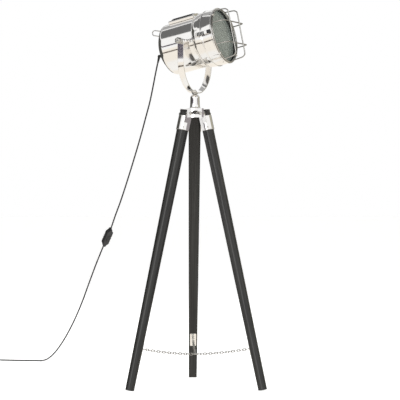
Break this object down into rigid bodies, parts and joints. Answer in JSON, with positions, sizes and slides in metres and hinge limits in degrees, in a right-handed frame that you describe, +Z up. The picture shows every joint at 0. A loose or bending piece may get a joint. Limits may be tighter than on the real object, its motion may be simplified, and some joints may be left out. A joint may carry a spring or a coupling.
{
  "type": "tripod floor lamp",
  "caption": "Searchlight floor lamp on a folding wooden tripod: caged nickel head tilts and pans in a U-shaped yoke, with a chain spreader and switched lead.",
  "frame": {"origin": "on the floor, under the middle of the box of the lamp without its lead; the tripod axis stands 75 mm towards -Y from it", "axes": "+Z up; the back leg points along +Y, and the head faces +X, 26 degrees towards -Y"},
  "size_m": [1.3979, 1.2054, 1.5292],
  "materials": {
    "black_wood": "black stained, satin",
    "polished_nickel": "polished nickel plate",
    "steel": "plain bright",
    "black_plastic": "fine matt",
    "black_rubber": "smooth",
    "plug_brass": "bright",
    "bulb_glass": "opal",
    "lens_glass": "grey green tint",
    "reflector_mirror": "bright spun"
  },
  "bodies": {
    "root": {"hub_casting": "polished_nickel", "neck_bell": "polished_nickel", "pan_stud": "steel", "pan_washer": "steel", "pan_nut": "polished_nickel", "hinge_pin_left": "steel", "hinge_pin_right": "steel", "hinge_pin_back": "steel", "cord_upper": "black_rubber", "cord_lower": "black_rubber", "cord_coil": "black_rubber", "cord_tail": "black_rubber", "switch_base": "black_plastic", "switch_cover": "black_plastic", "plug_body": "black_plastic", "plug_pin_1": "plug_brass", "plug_pin_2": "plug_brass"},
    "leg_left": {"leg_left": "black_wood", "leg_socket_left": "polished_nickel", "chain_plate_left": "polished_nickel"},
    "chain_left": {"chain_left": "steel"},
    "leg_right": {"leg_right": "black_wood", "leg_socket_right": "polished_nickel", "chain_plate_right": "polished_nickel"},
    "chain_right": {"chain_right": "steel"},
    "leg_back": {"leg_back": "black_wood", "leg_socket_back": "polished_nickel", "chain_plate_back": "polished_nickel"},
    "chain_back": {"chain_back": "steel"},
    "chain_ring": {"chain_ring": "steel"},
    "yoke": {"yoke_strap": "polished_nickel", "tilt_washer_near": "steel", "tilt_washer_far": "steel"},
    "knob_near": {"tilt_knob_near": "polished_nickel"},
    "knob_far": {"tilt_knob_far": "polished_nickel"},
    "head": {"rear_housing": "polished_nickel", "front_barrel": "polished_nickel", "vent_hood": "polished_nickel", "rear_loop": "polished_nickel", "cord_gland": "black_plastic", "strain_relief": "black_rubber", "holder_bracket": "steel", "lamp_holder": "black_plastic", "bulb": "bulb_glass", "reflector": "reflector_mirror", "hinge_leaf_fixed": "polished_nickel", "latch_base": "polished_nickel", "tilt_stud_near": "steel", "tilt_stud_far": "steel", "tilt_spacer_near": "polished_nickel", "tilt_spacer_far": "polished_nickel"},
    "latch": {"latch_lever": "polished_nickel"},
    "door": {"door_ring": "polished_nickel", "lens_gasket": "black_rubber", "lens": "lens_glass", "wire_cage": "polished_nickel", "hinge_leaf_door": "polished_nickel", "hinge_pin_door": "steel", "latch_catch": "polished_nickel"},
    "switch_rocker": {"switch_rocker": "black_plastic"}
  },
  "joints": [
    {"name": "leg_back_fold", "type": "hinge", "parent": "root", "child": "leg_back", "pos_m": [-0.007, -0.02679, 1.105], "axis": [-0.9994, -0.0349, 0], "range_deg": [0, 13.45]},
    {"name": "leg_left_fold", "type": "hinge", "parent": "root", "child": "leg_left", "pos_m": [-0.044, -0.09638, 1.105], "axis": [0.5299, -0.848, 0], "range_deg": [0, 13.45]},
    {"name": "leg_right_fold", "type": "hinge", "parent": "root", "child": "leg_right", "pos_m": [0.03476, -0.09363, 1.105], "axis": [0.4695, 0.8829, 0], "range_deg": [0, 13.45]},
    {"name": "chain_back_swing", "type": "hinge", "parent": "leg_back", "child": "chain_back", "pos_m": [-0.01386, 0.16955, 0.16183], "axis": [-0.9994, -0.0349, 0], "range_deg": [-96, 0], "deforming": ["chain_back"]},
    {"name": "chain_left_swing", "type": "hinge", "parent": "leg_left", "child": "chain_left", "pos_m": [-0.21062, -0.20049, 0.16183], "axis": [0.5299, -0.848, 0], "range_deg": [-96, 0], "deforming": ["chain_left"]},
    {"name": "chain_right_swing", "type": "hinge", "parent": "leg_right", "child": "chain_right", "pos_m": [0.20823, -0.18586, 0.16183], "axis": [0.4695, 0.8829, 0], "range_deg": [-96, 0], "deforming": ["chain_right"]},
    {"name": "chain_ring_drop", "type": "slide", "parent": "root", "child": "chain_ring", "axis": [0, 0, -1], "range_m": [0, 0.223]},
    {"name": "yoke_pan", "type": "hinge", "parent": "root", "child": "yoke", "pos_m": [-0.00542, -0.07226, 1.2], "axis": [0, 0, 1], "range_deg": [-150, 150]},
    {"name": "head_tilt", "type": "hinge", "parent": "yoke", "child": "head", "pos_m": [-0.00542, -0.07226, 1.39], "axis": [-0.4368, -0.8996, 0], "range_deg": [-55, 60], "deforming": ["cord_upper"]},
    {"name": "knob_near_turn", "type": "hinge", "parent": "yoke", "child": "knob_near", "pos_m": [-0.07006, -0.2054, 1.39], "axis": [-0.4368, -0.8996, 0], "range_deg": [0, 270]},
    {"name": "knob_far_turn", "type": "hinge", "parent": "yoke", "child": "knob_far", "pos_m": [0.05923, 0.06087, 1.39], "axis": [0.4368, 0.8996, 0], "range_deg": [0, 270]},
    {"name": "door_swing", "type": "hinge", "parent": "head", "child": "door", "pos_m": [0.11886, -0.0001, 1.40677], "axis": [-0.184, 0.0893, 0.9789], "range_deg": [0, 95]},
    {"name": "latch_flip", "type": "hinge", "parent": "head", "child": "latch", "pos_m": [-0.0014, -0.20796, 1.41173], "axis": [0.153, -0.1519, -0.9765], "range_deg": [0, 80]},
    {"name": "switch_rocker_press", "type": "hinge", "parent": "root", "child": "switch_rocker", "pos_m": [-0.3839, 0.3499, 0.58813], "axis": [0.8363, 0.5483, 0], "range_deg": [0, 12]}
  ],
  "couplings": [
    {"joint": "leg_left_fold", "follows": "leg_back_fold", "ratio": 1},
    {"joint": "leg_right_fold", "follows": "leg_back_fold", "ratio": 1},
    {"joint": "chain_back_swing", "follows": "leg_back_fold", "ratio": -7.0507},
    {"joint": "chain_left_swing", "follows": "leg_back_fold", "ratio": -7.0507},
    {"joint": "chain_right_swing", "follows": "leg_back_fold", "ratio": -7.0507},
    {"joint": "chain_ring_drop", "follows": "leg_back_fold", "m_per_rad": 0.92683}
  ]
}
